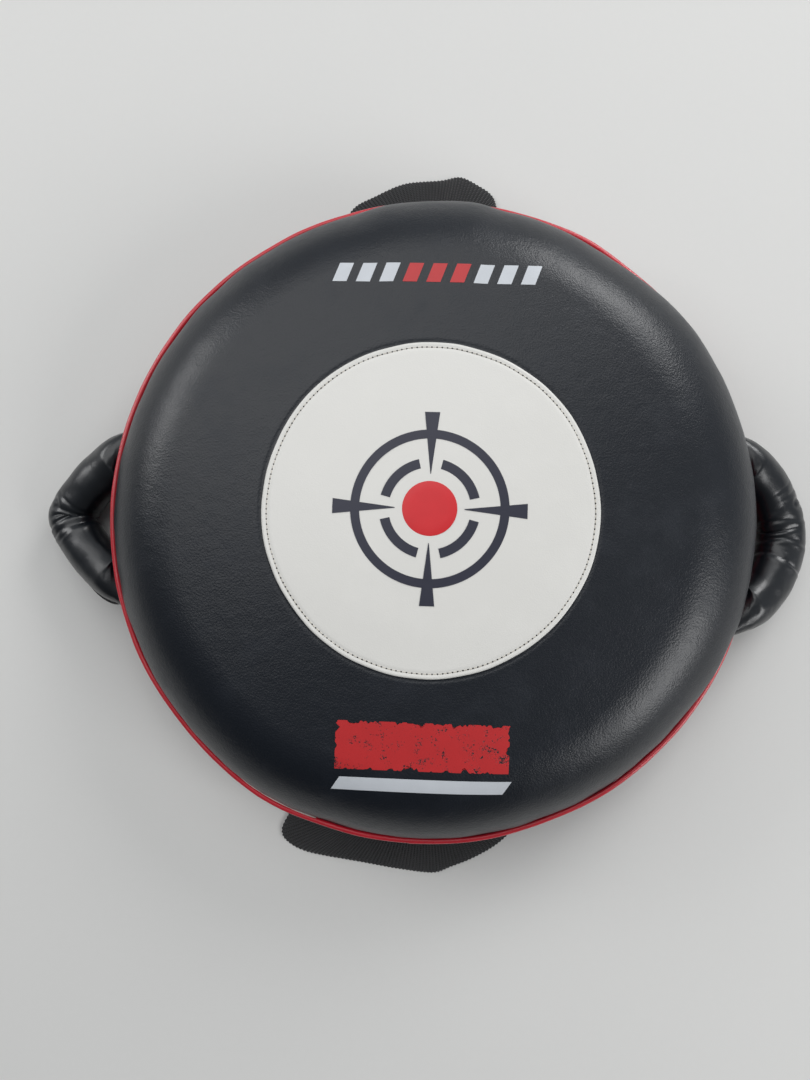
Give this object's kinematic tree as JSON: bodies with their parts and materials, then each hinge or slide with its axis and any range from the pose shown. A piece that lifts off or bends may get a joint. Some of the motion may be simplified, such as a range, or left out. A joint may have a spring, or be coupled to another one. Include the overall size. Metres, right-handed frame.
{
  "type": "round strike shield",
  "caption": "Round stuffed strike shield of black synthetic leather with a sewn target patch, red piping, stuffed side grips and webbing loops that swing.",
  "frame": {"origin": "centre of the flat of the back cover, on the surface that the shield lies on", "axes": "+Z out of the strike face, +Y towards the upper webbing loop, +X towards the right grip as seen from the strike face"},
  "size_m": [0.6143, 0.581, 0.1133],
  "materials": {
    "cover_leather": "fine pebbled synthetic leather, semi-gloss",
    "patch_leather": "smooth white synthetic leather, satin",
    "white_thread": "twisted polyester thread",
    "black_thread": "twisted polyester thread",
    "navy_ink": "screen printed, satin",
    "red_ink": "screen printed, satin",
    "white_ink": "screen printed, satin",
    "red_piping": "glossy vinyl welt",
    "piping_cord": "extruded plastic cord",
    "gel": "soft clear-blue gel",
    "firm_foam": "closed-cell foam sheet",
    "soft_foam": "open-cell foam",
    "grip_leather": "smooth glossy synthetic leather",
    "black_webbing": "ribbed woven webbing"
  },
  "bodies": {
    "pad": {"back_cover": "cover_leather", "back_piping": "red_piping", "back_piping_cord": "piping_cord", "backing_sheet": "firm_foam", "bottom_loop_tab_thread": "black_thread", "bottom_loop_tabs": "black_webbing", "bullseye_print": "red_ink", "core_foam": "soft_foam", "crosshair_print": "navy_ink", "front_cover": "cover_leather", "front_piping": "red_piping", "front_piping_cord": "piping_cord", "gel_sheet": "gel", "impact_foam": "firm_foam", "left_grip_tab_thread": "black_thread", "left_grip_tabs": "grip_leather", "lower_band_red": "red_ink", "lower_bar_white": "white_ink", "patch_thread": "white_thread", "right_grip_tab_thread": "black_thread", "right_grip_tabs": "grip_leather", "side_gusset": "cover_leather", "target_patch": "patch_leather", "top_loop_tab_thread": "black_thread", "top_loop_tabs": "black_webbing", "upper_stripes_red": "red_ink", "upper_stripes_white": "white_ink"},
    "left_grip": {"left_grip_foam": "soft_foam", "left_grip_sleeve": "grip_leather", "left_grip_strap": "black_webbing"},
    "right_grip": {"right_grip_foam": "soft_foam", "right_grip_sleeve": "grip_leather", "right_grip_strap": "black_webbing"},
    "top_loop": {"top_loop_webbing": "black_webbing"},
    "bottom_loop": {"bottom_loop_webbing": "black_webbing"}
  },
  "joints": [
    {"name": "left_grip_swing", "type": "hinge", "parent": "pad", "child": "left_grip", "pos_m": [-0.24584, 0, 0.034], "axis": [0, 1, 0], "range_deg": [-42, 55]},
    {"name": "right_grip_swing", "type": "hinge", "parent": "pad", "child": "right_grip", "pos_m": [0.2462, 0, 0.034], "axis": [0, -1, 0], "range_deg": [-38, 55]},
    {"name": "top_loop_swing", "type": "hinge", "parent": "pad", "child": "top_loop", "pos_m": [0, 0.2076, 0.0029], "axis": [1, 0, 0], "range_deg": [-140, 14]},
    {"name": "bottom_loop_swing", "type": "hinge", "parent": "pad", "child": "bottom_loop", "pos_m": [0, -0.2076, 0.00412], "axis": [-1, 0, 0], "range_deg": [-140, 14]}
  ]
}
